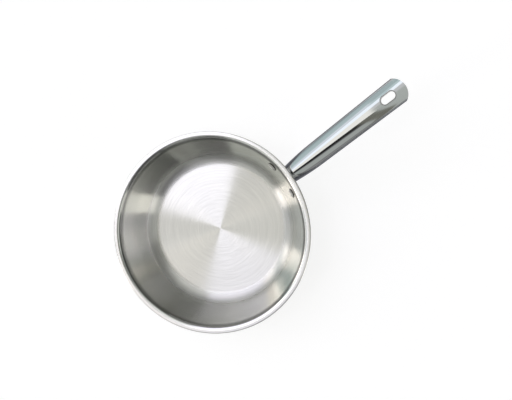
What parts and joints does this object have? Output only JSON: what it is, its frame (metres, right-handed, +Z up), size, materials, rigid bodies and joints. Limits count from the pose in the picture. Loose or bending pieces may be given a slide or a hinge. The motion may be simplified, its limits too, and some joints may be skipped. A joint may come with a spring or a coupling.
{
  "type": "frying pan",
  "caption": "Stainless steel frying pan with sloping walls, a flared pouring lip, an encapsulated base and a riveted hollow handle with a hanging slot.",
  "frame": {"origin": "centre of the resting face under the pan", "axes": "+Z up along the pan's turning axis, +X along the handle towards its tip, +Y to the left of the handle"},
  "size_m": [0.4046, 0.24, 0.089],
  "materials": {
    "satin_steel": "satin, brushed in circles on the floor",
    "aluminium_disc": "plain rolled",
    "ground_steel": "ground in circles",
    "bracket_steel": "satin",
    "polished_steel": "mirror polished",
    "rivet_steel": "polished"
  },
  "bodies": {
    "root": {"pan_body": "satin_steel", "base_core": "aluminium_disc", "base_cap": "ground_steel", "handle_bracket": "bracket_steel", "handle_tube": "polished_steel", "handle_tip": "polished_steel", "slot_liner": "polished_steel", "left_rivet": "rivet_steel", "right_rivet": "rivet_steel"}
  },
  "joints": []
}
